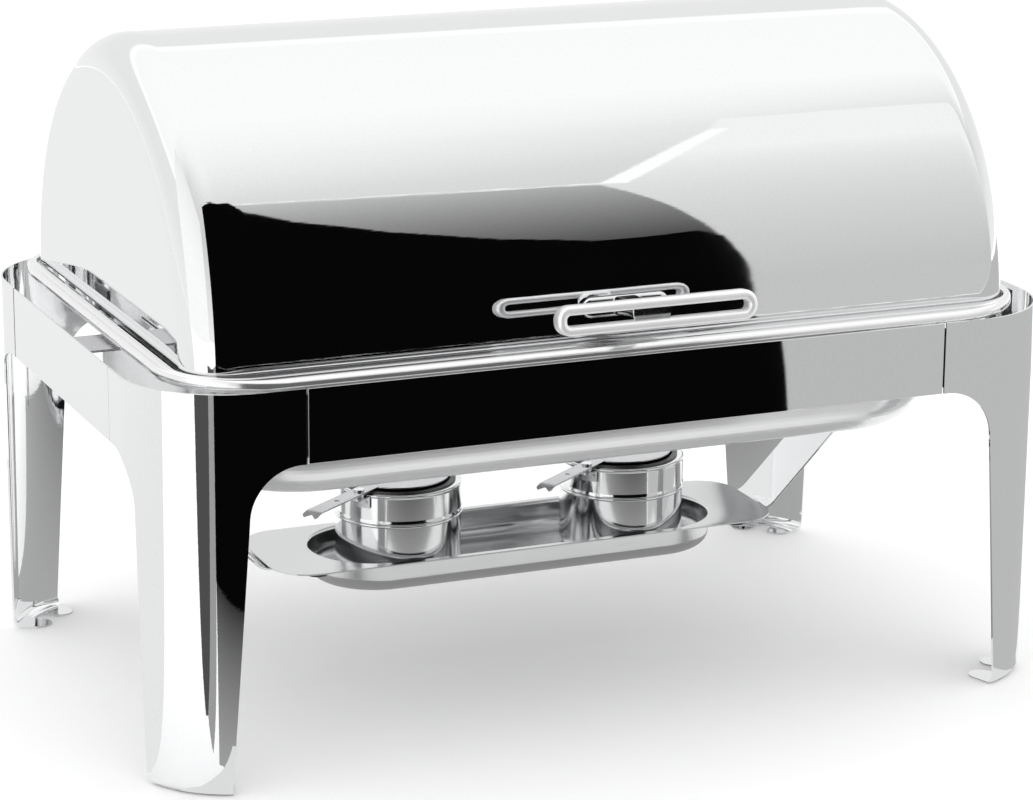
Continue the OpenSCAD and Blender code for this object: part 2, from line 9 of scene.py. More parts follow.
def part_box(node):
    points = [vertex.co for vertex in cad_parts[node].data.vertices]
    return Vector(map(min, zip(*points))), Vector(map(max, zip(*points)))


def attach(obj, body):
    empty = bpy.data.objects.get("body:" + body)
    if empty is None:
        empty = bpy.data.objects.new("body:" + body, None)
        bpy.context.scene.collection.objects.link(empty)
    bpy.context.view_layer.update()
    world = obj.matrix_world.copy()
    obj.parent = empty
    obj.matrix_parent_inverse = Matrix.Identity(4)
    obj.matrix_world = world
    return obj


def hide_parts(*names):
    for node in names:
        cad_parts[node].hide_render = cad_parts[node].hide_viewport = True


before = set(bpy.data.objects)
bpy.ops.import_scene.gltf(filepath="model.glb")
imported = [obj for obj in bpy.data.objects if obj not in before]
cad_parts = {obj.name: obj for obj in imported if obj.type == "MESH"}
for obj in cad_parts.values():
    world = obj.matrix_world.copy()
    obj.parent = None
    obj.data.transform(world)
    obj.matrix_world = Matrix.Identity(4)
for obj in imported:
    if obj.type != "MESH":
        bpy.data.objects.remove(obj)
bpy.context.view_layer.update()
MM = 0.001

# ---------------------------------------------------------------- sizes

rail_lo, rail_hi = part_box("front_rail")
rear_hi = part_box("rear_rail")[1]
end_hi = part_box("right_rail")[1]
lid_lo, lid_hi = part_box("lid_shell")
ring_lo, ring_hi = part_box("top_ring")
well_lo, well_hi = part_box("water_pan")
tray_lo, tray_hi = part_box("fuel_tray")
food_lo, food_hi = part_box("food_pan")
loop_lo, loop_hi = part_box("handle_loop")

SHEET = rail_hi[1] - rail_lo[1]
MID_Y = (rail_lo[1] + rear_hi[1]) / 2
HALF_L = end_hi[0]
HALF_W = rear_hi[1] - MID_Y
STAND_TOP = rail_hi[2]
RAIL_BOTTOM = rail_lo[2]
SEAM_X = rail_hi[0]
SEAM_Y = end_hi[1] - MID_Y
SEAM_GAP = 1.2 * MM
CORNER_R = 70 * MM

LEG_EDGE_X = (259.5 * MM, 272 * MM)      # below the arch, and at the foot
LEG_EDGE_Y = (155 * MM, 161 * MM)
ARCH_R = 34 * MM
FOOT_BEND_R = 7 * MM
LOBE_REACH = 26 * MM
LOBE_R = 8.5 * MM
LOBE_TURN = math.radians(9.5)
FLANGE_W = 3 * MM

AXIS_Z = lid_lo[2]
LID_R = lid_hi[2] - lid_lo[2]
LID_HALF = lid_hi[0]
LID_BLEND = 28 * MM
LID_T = 1.2 * MM

RING_BAND = 19.9 * MM                    # along the front and rear, with the lid's clearance left
RING_END_BAND = 10.3 * MM
RING_R = 68 * MM
RING_INNER_R = 30.9 * MM
RING_T = 0.5 * MM

WELL_R, WELL_EDGE_R, WELL_T = 75 * MM, 30 * MM, 1.2 * MM
FOOD_HALF_W, FOOD_R, FOOD_EDGE_R, FOOD_T = 150.5 * MM, 45 * MM, 18 * MM, 0.8 * MM
TRAY_R, TRAY_T, TRAY_EDGE_R = 28 * MM, 0.95 * MM, 9 * MM
RECESS_HALF_L, RECESS_HALF_W = 147.1 * MM, 46.1 * MM
STRAP_T, STRAP_BEND = 1.5 * MM, 7 * MM

HANDLE_TILT = math.radians(7)            # rise of the handle's line from the lid's axis
LOOP_H = 19 * MM
LOOP_BAR = 6 * MM
LOOP_DEPTH = 12 * MM
LOOP_REACH = (MID_Y - loop_lo[1] - LOOP_H / 2 * math.sin(HANDLE_TILT)) / math.cos(HANDLE_TILT)
BASE_L, BASE_H, BASE_T = 60 * MM, 13 * MM, 5.2 * MM

LEVER_DIR = math.radians(216.5)
TIER_H = 44 * MM                         # from a burner's foot to its collar
CAN_R, CAN_EDGE_R, CAN_H, CAN_T = 43.2 * MM, 8 * MM, 63 * MM, 1 * MM
PIVOT_REACH = 49 * MM                    # snuffer's rivet, from the burner's axis
SNUFFER_R, LEVER_HALF_W, LEVER_REACH = 34.8 * MM, 5.8 * MM, 61 * MM

# ---------------------------------------------------------------- materials


def node_maker(material):
    """Returns functions that add a node and link two sockets."""
    tree = material.node_tree

    def add(kind, **values):
        node = tree.nodes.new(kind)
        for key, value in values.items():
            if hasattr(node, key):
                setattr(node, key, value)
            else:
                node.inputs[key.replace("_", " ")].default_value = value
        return node

    def link(source, output, target, socket):
        tree.links.new(source.outputs[output], target.inputs[socket])

    return add, link


def new_steel(name, colour, metallic=1.0):
    """A material with its Principled shader, and the node functions."""
    material = bpy.data.materials.new(name)
    material.use_nodes = True
    shader = material.node_tree.nodes["Principled BSDF"]
    shader.inputs["Base Color"].default_value = (*colour, 1.0)
    shader.inputs["Metallic"].default_value = metallic
    return material, shader, *node_maker(material)


def tinted(add, link, material, shader, source, colour, low, high):
    """Lets a noise darken the base colour by a few per cent."""
    tone = add("ShaderNodeMapRange", From_Min=0.3, From_Max=0.7, To_Min=low, To_Max=high)
    link(source, "Fac", tone, "Value")
    shades = add("ShaderNodeVectorMath", operation="SCALE")
    shades.inputs[0].default_value = colour
    link(tone, "Result", shades, "Scale")
    link(shades, "Vector", shader, "Base Color")


def polished_steel(name, colour=(0.90, 0.905, 0.91), rough=(0.012, 0.035), ripple=0.02,
                   metallic=1.0):
    """Mirror-polished sheet: long ripples, buffing lines, haze and fine mottle."""
    material, shader, add, link = new_steel(name, colour, metallic)
    place = add("ShaderNodeTexCoord")
    haze = add("ShaderNodeTexNoise", Scale=14.0, Detail=6.0, Roughness=0.6)
    link(place, "Object", haze, "Vector")
    spread = add("ShaderNodeMapRange", From_Min=0.35, From_Max=0.75, To_Min=rough[0], To_Max=rough[1])
    link(haze, "Fac", spread, "Value")
    link(spread, "Result", shader, "Roughness")
    mottle = add("ShaderNodeTexNoise", Scale=650.0, Detail=3.0, Roughness=0.6)
    link(place, "Object", mottle, "Vector")
    tinted(add, link, material, shader, mottle, colour, 0.965, 1.0)
    wave = add("ShaderNodeTexNoise", Scale=4.0, Detail=1.0, Roughness=0.4)
    link(place, "Object", wave, "Vector")
    low = add("ShaderNodeBump", Strength=ripple, Distance=0.01)
    link(wave, "Fac", low, "Height")
    stretch = add("ShaderNodeMapping")
    stretch.inputs["Scale"].default_value = (2.0, 90.0, 90.0)
    link(place, "Object", stretch, "Vector")
    lines = add("ShaderNodeTexNoise", Scale=6.0, Detail=3.0, Roughness=0.6)
    link(stretch, "Vector", lines, "Vector")
    fine = add("ShaderNodeBump", Strength=0.012, Distance=0.0005)
    link(lines, "Fac", fine, "Height")
    link(low, "Normal", fine, "Normal")
    link(fine, "Normal", shader, "Normal")
    return material


def satin_steel(name, colour=(0.72, 0.725, 0.73), rough=(0.2, 0.32), along=(1.0, 40.0, 40.0),
                relief=0.02, shade=0.96, metallic=1.0, drawn=0.4):
    """Satin sheet with fine brushing drawn out along the axis scaled least."""
    material, shader, add, link = new_steel(name, colour, metallic)
    place = add("ShaderNodeTexCoord")
    stretch = add("ShaderNodeMapping")
    stretch.inputs["Scale"].default_value = along
    link(place, "Object", stretch, "Vector")
    strokes = add("ShaderNodeTexNoise", Scale=28.0, Detail=5.0, Roughness=0.65)
    link(stretch, "Vector", strokes, "Vector")
    spread = add("ShaderNodeMapRange", From_Min=0.3, From_Max=0.7, To_Min=rough[0], To_Max=rough[1])
    link(strokes, "Fac", spread, "Value")
    link(spread, "Result", shader, "Roughness")
    tinted(add, link, material, shader, strokes, colour, shade, 1.0)
    bump = add("ShaderNodeBump", Strength=relief, Distance=0.0006)
    link(strokes, "Fac", bump, "Height")
    link(bump, "Normal", shader, "Normal")
    shader.inputs["Anisotropic"].default_value = drawn
    return material


def rubber(name):
    """Matt black silicone with a fine grain."""
    material, shader, add, link = new_steel(name, (0.03, 0.03, 0.03), 0.0)
    place = add("ShaderNodeTexCoord")
    grain = add("ShaderNodeTexNoise", Scale=600.0, Detail=3.0)
    link(place, "Object", grain, "Vector")
    bump = add("ShaderNodeBump", Strength=0.2, Distance=0.0004)
    link(grain, "Fac", bump, "Height")
    link(bump, "Normal", shader, "Normal")
    shader.inputs["Roughness"].default_value = 0.55
    return material


LID_STEEL = polished_steel("lid_polish", ripple=0.012)
STAND_STEEL = polished_steel("stand_polish", ripple=0.025)
PART_STEEL = polished_steel("part_polish", rough=(0.08, 0.13), ripple=0.03)
HANDLE_STEEL = polished_steel("handle_polish", colour=(0.97, 0.97, 0.975), rough=(0.3, 0.38),
                              ripple=0.0, metallic=0.6)
WELL_STEEL = satin_steel("well_satin", colour=(0.88, 0.885, 0.89), rough=(0.21, 0.24),
                         along=(1.0, 12.0, 12.0), relief=0.0005, shade=0.985, metallic=0.72,
                         drawn=0.0)
RING_STEEL = satin_steel("ring_satin", colour=(0.95, 0.95, 0.955), rough=(0.15, 0.19), relief=0.001,
                         shade=0.985, metallic=0.9, drawn=0.0)
# Base colour lowered to 0.60 as painted shade: it stands in for the dark reflections the polished lever
# shows.
LEVER_DARKENED_STEEL = polished_steel("lever_polish_painted_dark", colour=(0.60, 0.605, 0.61), rough=(0.08, 0.14), ripple=0.03)
TRAY_STEEL = satin_steel("tray_satin", colour=(0.78, 0.785, 0.79), rough=(0.16, 0.26))
FITTING_STEEL = satin_steel("fitting_satin", colour=(0.62, 0.62, 0.63), rough=(0.25, 0.33), along=(1, 1, 1),
                            relief=0.004, drawn=0.0)
# Near-black satin as painted shade: a dark sheet behind the seam gaps and inside the burner cups, where only
# shade shows.
PAINTED_SHADE_STEEL = satin_steel("painted_shade_satin", colour=(0.16, 0.16, 0.165), rough=(0.3, 0.45), along=(1, 1, 1))
SILICONE = rubber("silicone")

# ---------------------------------------------------------------- mesh helpers


def finish_piece(name, mesh, material, body, replaces, sharp=35):
    """Links a mesh as a piece of the object that stands for CAD nodes."""
    mesh.validate()
    mesh.polygons.foreach_set("use_smooth", [True] * len(mesh.polygons))
    mesh.set_sharp_from_angle(angle=math.radians(sharp))
    piece = bpy.data.objects.new(name, mesh)
    bpy.context.scene.collection.objects.link(piece)
    piece.data.materials.clear()
    piece.data.materials.append(material)
    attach(piece, body)
    if replaces:
        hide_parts(*replaces)
    return piece


def mesh_of(name, verts, faces, weld=1e-6):
    """A mesh from lists, with points that coincide welded."""
    mesh = bpy.data.meshes.new(name)
    mesh.from_pydata([tuple(v) for v in verts], [], faces)
    work = bmesh.new()
    work.from_mesh(mesh)
    bmesh.ops.remove_doubles(work, verts=work.verts, dist=weld)
    bmesh.ops.dissolve_degenerate(work, edges=work.edges, dist=weld)
    work.to_mesh(mesh)
    work.free()
    return mesh


def turn_outward(mesh):
    """Turns the faces of a closed mesh outward."""
    work = bmesh.new()
    work.from_mesh(mesh)
    bmesh.ops.recalc_face_normals(work, faces=work.faces)
    work.to_mesh(mesh)
    work.free()


def loft(rows, loop=False, ring=False):
    """Vertices and quads between rows of points. loop closes each row, ring
    joins the last row to the first."""
    count = len(rows[0])
    verts = [p for row in rows for p in row]
    faces = []
    for i in range(len(rows) if ring else len(rows) - 1):
        a, b = i * count, (i + 1) % len(rows) * count
        for j in range(count if loop else count - 1):
            k = (j + 1) % count
            faces.append((a + j, a + k, b + k, b + j))
    return verts, faces


def facing(mesh, point, away=True):
    """Turns a surface so that its faces look away from a point, or to it."""
    look = sum(p.normal.dot(p.center - Vector(point)) * p.area for p in mesh.polygons)
    if (look > 0) != away:
        mesh.flip_normals()
    return mesh


def sheet_edge(piece, thickness, edge=0.25):
    """Gives a surface its sheet thickness, behind its faces, and soft edges."""
    solid = piece.modifiers.new("sheet", "SOLIDIFY")
    solid.thickness = thickness
    solid.offset = -1.0
    solid.use_even_offset = True
    soft_edge(piece, edge * thickness)


def soft_edge(piece, width, segments=2, angle=50):
    """Rounds the edges that turn more than an angle in degrees."""
    bevel = piece.modifiers.new("edge", "BEVEL")
    bevel.width = width
    bevel.segments = segments
    bevel.limit_method = "ANGLE"
    bevel.angle_limit = math.radians(angle)
    bevel.harden_normals = True


def arc(centre, radius, start, end, steps):
    """Points of a plane arc, angles in degrees."""
    angles = [math.radians(start + (end - start) * i / steps) for i in range(steps + 1)]
    return [(centre[0] + radius * math.cos(a), centre[1] + radius * math.sin(a)) for a in angles]


def spread(start, end, steps):
    """Numbers at equal steps from start to end, with both."""
    return [start + (end - start) * i / steps for i in range(steps + 1)]


def round_path(half_l, half_w, radius, arc_steps=16, side_steps=8):
    """Counter-clockwise rounded rectangle: (x, y, outward x, outward y)."""
    path = []
    corners = ((1, 1, 0), (-1, 1, 90), (-1, -1, 180), (1, -1, 270))
    for sx, sy, turn in corners:
        cx, cy = sx * (half_l - radius), sy * (half_w - radius)
        for i in range(arc_steps + 1):
            a = math.radians(turn + 90 * i / arc_steps)
            nx, ny = math.cos(a), math.sin(a)
            path.append((cx + radius * nx, cy + radius * ny, nx, ny))
        ahead = math.radians(turn + 90)
        length = 2 * (half_l - radius) if turn % 180 == 0 else 2 * (half_w - radius)
        x, y, nx, ny = path[-1]
        for i in range(1, side_steps):
            step = length * i / side_steps
            path.append((x - math.sin(ahead) * step, y + math.cos(ahead) * step, nx, ny))
    return path


def supported(profile, gap=0.4 * MM):
    """Adds points close to both ends of every long straight run."""
    points = [profile[0]]
    for a, b in zip(profile, profile[1:]):
        length = math.hypot(b[0] - a[0], b[1] - a[1])
        if length > 4 * gap:
            for share in (gap / length, 1 - gap / length):
                points.append((a[0] + (b[0] - a[0]) * share, a[1] + (b[1] - a[1]) * share))
        points.append(b)
    return points


def tub_mesh(name, half_l, half_w, radius, profile):
    """A tub with round corners from (inset, height) points, and its bottom."""
    rows = []
    for inset, height in supported(profile):
        path = round_path(half_l - inset, half_w - inset, max(radius - inset, 0.5 * MM))
        rows.append([(x, y + MID_Y, height) for x, y, _, _ in path])
    verts, faces = loft(rows, loop=True)
    count = len(rows[0])
    faces.append(tuple(range(len(verts) - count, len(verts))))
    return mesh_of(name, verts, faces)


def lathe_mesh(name, centre, profile, steps=96):
    """Turns (radius, height) points about a vertical line."""
    rows = []
    for radius, height in supported(profile):
        rows.append([(centre[0] + radius * math.cos(math.tau * i / steps),
                      centre[1] + radius * math.sin(math.tau * i / steps),
                      height) for i in range(steps)])
    verts, faces = loft(rows, loop=True)
    return mesh_of(name, verts, faces, weld=1e-7)


# ---------------------------------------------------------------- lid


def build_lid():
    """Half a barrel whose ends turn in through a wide bend."""
    flat, straight = LID_R - LID_BLEND, LID_HALF - LID_BLEND
    half = [(r, LID_HALF) for r in spread(0, flat, 8)[:-1]]
    half += [(flat + LID_BLEND * math.sin(a), straight + LID_BLEND * math.cos(a))
             for a in spread(0, math.pi / 2, 24)]
    barrel = [(LID_R, x) for x in spread(straight, -straight, 32)[1:-1]]
    profile = half + barrel + [(r, -x) for r, x in reversed(half)]
    rows = []
    for turn in spread(0, math.pi, 180):
        c, s = math.cos(turn), math.sin(turn)
        rows.append([(x, MID_Y - r * c, AXIS_Z + r * s) for r, x in profile])
    verts, faces = loft(rows)
    mesh = facing(mesh_of("lid_barrel", verts, faces), (0, MID_Y, AXIS_Z))
    piece = finish_piece("lid_barrel", mesh, LID_STEEL, "lid", ["lid_shell"])
    sheet_edge(piece, LID_T)


# ---------------------------------------------------------------- top ring


def build_ring():
    """Rolled band with a shallow groove, narrower along the ends."""
    half_l, half_w = ring_hi[0], (ring_hi[1] - ring_lo[1]) / 2
    inner = (half_l - RING_END_BAND, half_w - RING_BAND, RING_INNER_R)
    outer = (half_l, half_w, RING_R)
    # share of the band's width outward, and height above the rails in mm
    section = [(0.0, 5.0), (0.0, 6.1), (0.02, 6.5), (0.06, 6.8), (0.13, 6.95), (0.24, 6.9), (0.34, 6.7),
               (0.42, 6.4), (0.47, 6.05), (0.50, 5.85), (0.53, 6.0), (0.57, 6.3), (0.63, 6.55),
               (0.70, 6.6), (0.78, 6.4), (0.86, 5.9), (0.92, 5.2), (0.965, 4.3),
               (0.99, 3.4), (1.0, 2.6), (1.0, 1.9), (0.985, 1.2), (0.95, 0.7), (0.9, 0.4)]
    rows = []
    for share, up in section:
        size = [near + (far - near) * share for near, far in zip(inner, outer)]
        rows.append([(x, y + MID_Y, ring_lo[2] + up * MM) for x, y, _, _ in round_path(*size, 28, 10)])
    verts, faces = loft(rows, loop=True)
    mesh = mesh_of("rolled_ring", verts, faces)
    if sum(p.normal.z * p.area for p in mesh.polygons) < 0:
        mesh.flip_normals()
    piece = finish_piece("rolled_ring", mesh, RING_STEEL, "stand", ["top_ring"], 60)
    sheet_edge(piece, RING_T, edge=0.1)


# ---------------------------------------------------------------- stand


def leg_columns():
    """Plan points along one leg from the X seam round the corner to the Y
    seam, as (x, y, lowest height), for the corner at +X +Y."""
    cx, cy = HALF_L - CORNER_R, HALF_W - CORNER_R
    arch_z = RAIL_BOTTOM - ARCH_R

    def on_wall_x(x):
        if x <= cx:
            return x, HALF_W
        return x, cy + math.sqrt(max(CORNER_R ** 2 - (x - cx) ** 2, 0))

    def on_wall_y(y):
        if y <= cy:
            return HALF_L, y
        return cx + math.sqrt(max(CORNER_R ** 2 - (y - cy) ** 2, 0)), y

    def heights(seam, edge):
        start = edge[0] - ARCH_R
        stops = [(seam + SEAM_GAP, RAIL_BOTTOM)]
        stops += [(start + ARCH_R * math.sin(a), arch_z + ARCH_R * math.cos(a))
                  for a in spread(0, math.pi / 2, 18)]
        stops += [(edge[0] + (edge[1] - edge[0]) * t, arch_z + (FOOT_BEND_R - arch_z) * t)
                  for t in spread(0, 1, 10)[1:]]
        return stops

    first = [(*on_wall_x(u), z) for u, z in heights(SEAM_X, LEG_EDGE_X)]
    last = [(*on_wall_y(u), z) for u, z in heights(SEAM_Y, LEG_EDGE_Y)]
    return first, last, (cx, cy)


def lobe_edge(angle, starts):
    """Radius where the foot's flange ends, at an angle about the corner."""
    tip = CORNER_R - LOBE_REACH + LOBE_R
    for middle in starts:
        side = tip * math.sin(angle - middle)
        if abs(side) < LOBE_R:
            return tip * math.cos(angle - middle) - math.sqrt(LOBE_R ** 2 - side ** 2)
    return CORNER_R - FOOT_BEND_R - FLANGE_W


def build_leg(name, sx, sy):
    """Corner sheet with its arches, and the foot bent in under it with two lobes."""
    first, last, (cx, cy) = leg_columns()
    low = math.asin((LEG_EDGE_Y[1] - cy) / CORNER_R)
    high = math.pi / 2 - math.asin((LEG_EDGE_X[1] - cx) / CORNER_R)
    middles = (low + LOBE_TURN, high - LOBE_TURN)
    reach = math.asin(LOBE_R / (CORNER_R - LOBE_REACH + LOBE_R))
    angles = {high, low}
    for middle in middles:
        angles |= {middle + reach * 0.9999 * math.sin(a) for a in spread(-math.pi / 2, math.pi / 2, 20)}
    angles |= set(spread(middles[0] + reach * 1.02, middles[1] - reach * 1.02, 8))
    angles = sorted((a for a in angles if low <= a <= high), reverse=True)
    foot = [(cx + CORNER_R * math.cos(a), cy + CORNER_R * math.sin(a), FOOT_BEND_R) for a in angles]
    columns = first[:-1] + foot + last[-2::-1]
    rows = []
    for x, y, bottom in columns:
        rows.append([(sx * x, sy * y + MID_Y, STAND_TOP + (bottom - STAND_TOP) * t)
                     for t in spread(0, 1, 20)])
    verts, faces = loft(rows)
    base = len(verts)
    foot_rows = []
    for angle in angles:
        run = [(CORNER_R - FOOT_BEND_R * (1 - math.cos(a)), FOOT_BEND_R * (1 - math.sin(a)))
               for a in spread(0, math.pi / 2, 8)]
        inner = lobe_edge(angle, middles)
        run += [(r, 0.0) for r in spread(CORNER_R - FOOT_BEND_R, inner, 5)[1:]]
        foot_rows.append([(sx * (cx + r * math.cos(angle)), sy * (cy + r * math.sin(angle)) + MID_Y, z)
                          for r, z in run])
    foot_verts, foot_faces = loft(foot_rows)
    verts += foot_verts
    faces += [tuple(base + i for i in face) for face in foot_faces]
    mesh = facing(mesh_of(name, verts, faces, weld=2e-6), (0, MID_Y, STAND_TOP))
    piece = finish_piece(name, mesh, STAND_STEEL, "stand", [name.replace("_sheet", "")])
    sheet_edge(piece, SHEET)


def build_rail(name, node, along_x, side):
    """Flat rail sheet; side is the sign of its outer face."""
    lo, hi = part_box(node)
    zs = spread(lo[2], hi[2], 6)
    if along_x:
        y = hi[1] if side > 0 else lo[1]
        rows = [[(x, y, z) for z in zs] for x in spread(lo[0], hi[0], 24)]
    else:
        x = hi[0] if side > 0 else lo[0]
        rows = [[(x, y, z) for z in zs] for y in spread(lo[1], hi[1], 14)]
    verts, faces = loft(rows)
    mesh = facing(mesh_of(name, verts, faces), (0, MID_Y, STAND_TOP))
    piece = finish_piece(name, mesh, STAND_STEEL, "stand", [node])
    sheet_edge(piece, SHEET, edge=0.3)


# ---------------------------------------------------------------- pans


def build_well():
    edge = WELL_EDGE_R
    half_l, half_w = well_hi[0], (well_hi[1] - well_lo[1]) / 2
    profile = [(0.0, z) for z in spread(well_hi[2], well_lo[2] + edge, 6)[:-1]]
    profile += [(edge * (1 - math.cos(a)), well_lo[2] + edge * (1 - math.sin(a)))
                for a in spread(0, math.pi / 2, 16)]
    profile += [(edge + 12 * MM, well_lo[2])]
    mesh = facing(tub_mesh("pan_well", half_l, half_w, WELL_R, profile), (0, MID_Y, well_hi[2]))
    piece = finish_piece("pan_well", mesh, WELL_STEEL, "stand", ["water_pan"])
    sheet_edge(piece, WELL_T)


def build_food_pan():
    """Tub with a flat lip that rests on the deck."""
    edge = FOOD_EDGE_R
    half_l, half_w = food_hi[0], (food_hi[1] - food_lo[1]) / 2
    lip, turn_r = half_w - FOOD_HALF_W, 4 * MM
    top = food_hi[2]
    profile = [(0.4 * MM, top - 1 * MM), (0.0, top - 0.7 * MM), (0.0, top - 0.3 * MM), (0.4 * MM, top)]
    profile += [(lip - turn_r, top)]
    profile += [(lip - turn_r + turn_r * math.sin(a), top - turn_r * (1 - math.cos(a)))
                for a in spread(0, math.pi / 2, 8)[1:]]
    profile += [(lip, z) for z in spread(top - turn_r, food_lo[2] + edge, 4)[1:-1]]
    profile += [(lip + edge * (1 - math.cos(a)), food_lo[2] + 0.2 * MM + edge * (1 - math.sin(a)))
                for a in spread(0, math.pi / 2, 12)]
    mesh = tub_mesh("food_pan_sheet", half_l, half_w, FOOD_R, profile)
    facing(mesh, (0, MID_Y, top + 1.0), away=False)
    piece = finish_piece("food_pan_sheet", mesh, WELL_STEEL, "food_pan", ["food_pan"], 60)
    sheet_edge(piece, FOOD_T)


def build_tray():
    """Flat wings round a long recess with round ends."""
    edge = TRAY_EDGE_R
    half_l, half_w = tray_hi[0], (tray_hi[1] - tray_lo[1]) / 2
    top, bottom = tray_hi[2], tray_lo[2]
    cup_l, cup_w = RECESS_HALF_L, RECESS_HALF_W
    lip = [(half_l, half_w, TRAY_R, top), (half_l - 5 * MM, half_w - 4 * MM, TRAY_R - 4 * MM, top)]
    shoulder = 2.2 * MM
    for a in spread(0, math.pi / 2, 6):
        out = shoulder * (1 - math.sin(a))
        lip.append((cup_l + out, cup_w + out, cup_w + out - 0.1 * MM, top - shoulder * (1 - math.cos(a))))
    for a in spread(0, math.pi / 2, 8):
        inset = edge * (1 - math.cos(a))
        lip.append((cup_l - inset, cup_w - inset, cup_w - inset - 0.1 * MM,
                    bottom + 1 * MM + edge * (1 - math.sin(a))))
    rows = []
    for l, w, r, z in lip:
        rows.append([(x, y + MID_Y, z) for x, y, _, _ in round_path(l, w, r, 20, 8)])
    verts, faces = loft(rows, loop=True)
    count = len(rows[0])
    faces.append(tuple(range(len(verts) - count, len(verts))))
    mesh = facing(mesh_of("tray_sheet", verts, faces), (0, MID_Y, top + 1.0), away=False)
    piece = finish_piece("tray_sheet", mesh, TRAY_STEEL, "fuel_tray", ["fuel_tray"], 50)
    sheet_edge(piece, TRAY_T, edge=0.2)


def build_hanger(name, node, sx):
    """Strap down the inside of an end rail, across and in under the tray's wing."""
    lo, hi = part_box(node)
    wall = hi[0] if sx > 0 else -lo[0]
    outer = wall - STRAP_T
    knee_z, tab_z = RAIL_BOTTOM + 2 * MM, tray_lo[2] + 19.4 * MM
    stops = [Vector((outer, hi[2] - 0.8 * MM)), Vector((outer, knee_z)),
             Vector((190 * MM, tab_z)), Vector((158 * MM, tab_z))]
    line = [stops[0]]
    for before, corner, after in zip(stops, stops[1:], stops[2:]):
        enter = corner + (before - corner).normalized() * STRAP_BEND
        leave = corner + (after - corner).normalized() * STRAP_BEND
        for t in spread(0, 1, 8):
            line.append(enter.lerp(corner, t).lerp(corner.lerp(leave, t), t))
    line.append(stops[-1])
    half = (hi[1] - lo[1]) / 2
    rows = [[(sx * p.x, MID_Y + y, p.y) for y in spread(-half, half, 6)] for p in line]
    verts, faces = loft(rows)
    mesh = mesh_of(name, verts, faces)
    piece = finish_piece(name, mesh, STAND_STEEL, "stand", [node], 60)
    sheet_edge(piece, STRAP_T)
    piece.modifiers["sheet"].offset = 0.0


# ---------------------------------------------------------------- handle


def round_section(half_a, half_b, radius, steps=5):
    """Closed rounded rectangle as (a, b) points."""
    points = []
    for sa, sb, turn in ((1, 1, 0), (-1, 1, 90), (-1, -1, 180), (1, -1, 270)):
        points += arc((sa * (half_a - radius), sb * (half_b - radius)), radius, turn, turn + 90, steps)
    return points


def on_handle_line(x, out, rise):
    """Point at a distance out along the handle's radial line, and up from it."""
    c, s = math.cos(HANDLE_TILT), math.sin(HANDLE_TILT)
    return x, MID_Y - out * c + rise * s, AXIS_Z + out * s + rise * c


def build_handle():
    """The long closed loop that is gripped."""
    half_l, half_h, round_end = loop_hi[0], LOOP_H / 2, LOOP_H / 2 - 0.5 * MM
    inset = LOOP_BAR / 2
    path = round_path(half_l - inset, half_h - inset, round_end - inset, 18, 10)
    section = round_section(inset, LOOP_DEPTH / 2, 2.9 * MM, 6)
    middle = LOOP_REACH - LOOP_DEPTH / 2
    rows = [[on_handle_line(x + nx * a, middle + b, h + nh * a) for a, b in section]
            for x, h, nx, nh in path]
    verts, faces = loft(rows, loop=True, ring=True)
    mesh = mesh_of("handle_bar", verts, faces)
    turn_outward(mesh)
    finish_piece("handle_bar", mesh, HANDLE_STEEL, "lid", ["handle_loop"], 80)


def line_loops(stations, steps=12):
    """Loops round the handle's line: (out, half length, half height)."""
    rows = []
    for out, half_l, half_h in stations:
        path = round_path(half_l, half_h, min(half_l, half_h) * 0.96, steps, 4)
        rows.append([on_handle_line(x, out, h) for x, h, _, _ in path])
    return rows


def build_stem():
    """Neck from the loop to the plate on the lid, flared at both ends."""
    front, back = LOOP_REACH - LOOP_DEPTH, LID_R + BASE_T - 0.5 * MM
    flare = [(0.0, 12.8, 8.3), (0.6, 13, 8.5), (2, 13, 8.5), (3, 12.2, 7.6), (6, 10.8, 6.2),
             (10, 10, 5.6), (20, 9.6, 5.2), (30, 10, 5.5)]
    stations = [(front - d * MM, l * MM, h * MM) for d, l, h in flare]
    stations += [(back + 3 * MM, 11 * MM, 5.8 * MM), (back, 11 * MM, 6 * MM)]
    rows = line_loops(stations)
    verts, faces = loft(rows, loop=True)
    count = len(rows[0])
    faces += [tuple(reversed(range(count))), tuple(range(len(verts) - count, len(verts)))]
    mesh = mesh_of("handle_neck", verts, faces)
    turn_outward(mesh)
    finish_piece("handle_neck", mesh, PART_STEEL, "lid", ["handle_stem"], 40)


def build_base():
    """Long plate that follows the lid, crowned towards its middle."""
    half_l, half_h = BASE_L / 2, BASE_H / 2
    rows = []
    for inset, lift in ((0, 0.03), (0, 3.0), (0.3, 4.0), (1.0, 4.7), (2.2, 5.1), (4.5, 5.2)):
        loop = round_path(half_l - inset * MM, half_h - inset * MM, (half_h - inset * MM) * 0.96, 14, 6)
        rows.append([on_handle_line(x, math.sqrt(LID_R ** 2 - h ** 2) + lift * MM, h)
                     for x, h, _, _ in loop])
    verts, faces = loft(rows, loop=True)
    faces += [tuple(range(len(verts) - len(rows[0]), len(verts)))]
    mesh = mesh_of("handle_plate", verts, faces)
    turn_outward(mesh)
    finish_piece("handle_plate", mesh, PART_STEEL, "lid", ["handle_base"], 60)


# ---------------------------------------------------------------- burners


